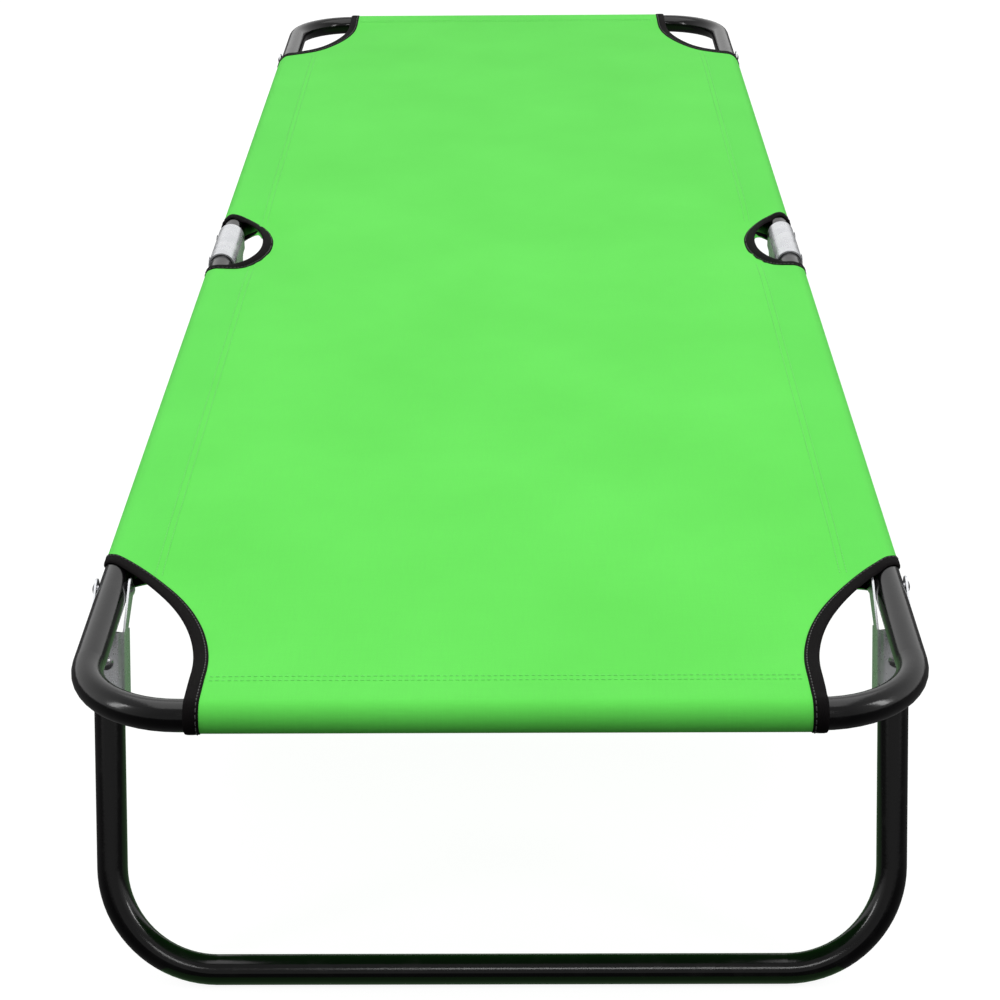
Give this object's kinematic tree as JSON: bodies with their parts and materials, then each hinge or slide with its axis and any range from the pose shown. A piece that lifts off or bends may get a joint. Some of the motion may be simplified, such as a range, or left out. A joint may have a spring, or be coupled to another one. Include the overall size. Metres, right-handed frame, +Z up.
{
  "type": "folding cot",
  "caption": "Low folding cot: a bent tube frame hinged across the middle, with a stretched canvas deck and U-shaped legs that fold in flat under each half.",
  "frame": {"origin": "on the floor, under the middle of the cot", "axes": "+Z up, +Y along the bed from the foot end to the head end, +X to the right seen from the foot end"},
  "size_m": [0.591, 1.9032, 0.272],
  "materials": {
    "black_tube": "glossy black powder coat",
    "black_plastic": "matte",
    "zinc_sheet": "satin zinc plate",
    "rivets": "zinc plated",
    "canvas": "plain bright green woven polyester",
    "binding": "black woven bias tape"
  },
  "bodies": {
    "foot_frame": {"foot_frame_tube": "black_tube", "foot_rail_plugs": "black_plastic", "foot_corner_bindings": "binding", "foot_middle_bindings": "binding", "canvas_foot": "canvas"},
    "head_frame": {"head_frame_tube": "black_tube", "head_rail_plugs": "black_plastic", "head_corner_bindings": "binding", "head_middle_bindings": "binding", "canvas_head": "canvas"},
    "foot_leg": {"foot_leg_tube": "black_tube", "foot_leg_bracket_right": "zinc_sheet", "foot_leg_bracket_left": "zinc_sheet", "foot_leg_pivot_rivets": "rivets", "foot_leg_fixing_rivets": "rivets"},
    "head_leg": {"head_leg_tube": "black_tube", "head_leg_bracket_right": "zinc_sheet", "head_leg_bracket_left": "zinc_sheet", "head_leg_pivot_rivets": "rivets", "head_leg_fixing_rivets": "rivets"},
    "centre": {"hinge_channel_right": "zinc_sheet", "hinge_channel_left": "zinc_sheet", "hinge_rivets": "rivets", "centre_leg_tube": "black_tube", "centre_leg_rivets": "rivets", "canvas_centre": "canvas", "centre_bindings": "binding"}
  },
  "joints": [
    {"name": "foot_fold", "type": "hinge", "parent": "centre", "child": "foot_frame", "pos_m": [0, -0.034, 0.259], "axis": [1, 0, 0], "range_deg": [0, 89]},
    {"name": "head_fold", "type": "hinge", "parent": "centre", "child": "head_frame", "pos_m": [0, 0.034, 0.259], "axis": [-1, 0, 0], "range_deg": [0, 89]},
    {"name": "foot_leg_fold", "type": "hinge", "parent": "foot_frame", "child": "foot_leg", "pos_m": [0, -0.755, 0.259], "axis": [1, 0, 0], "range_deg": [0, 110]},
    {"name": "head_leg_fold", "type": "hinge", "parent": "head_frame", "child": "head_leg", "pos_m": [0, 0.755, 0.259], "axis": [-1, 0, 0], "range_deg": [0, 110]}
  ],
  "couplings": [
    {"joint": "head_fold", "follows": "foot_fold", "ratio": 1},
    {"joint": "foot_leg_fold", "follows": "foot_fold", "ratio": 1.2353},
    {"joint": "head_leg_fold", "follows": "foot_fold", "ratio": 1.2353}
  ]
}
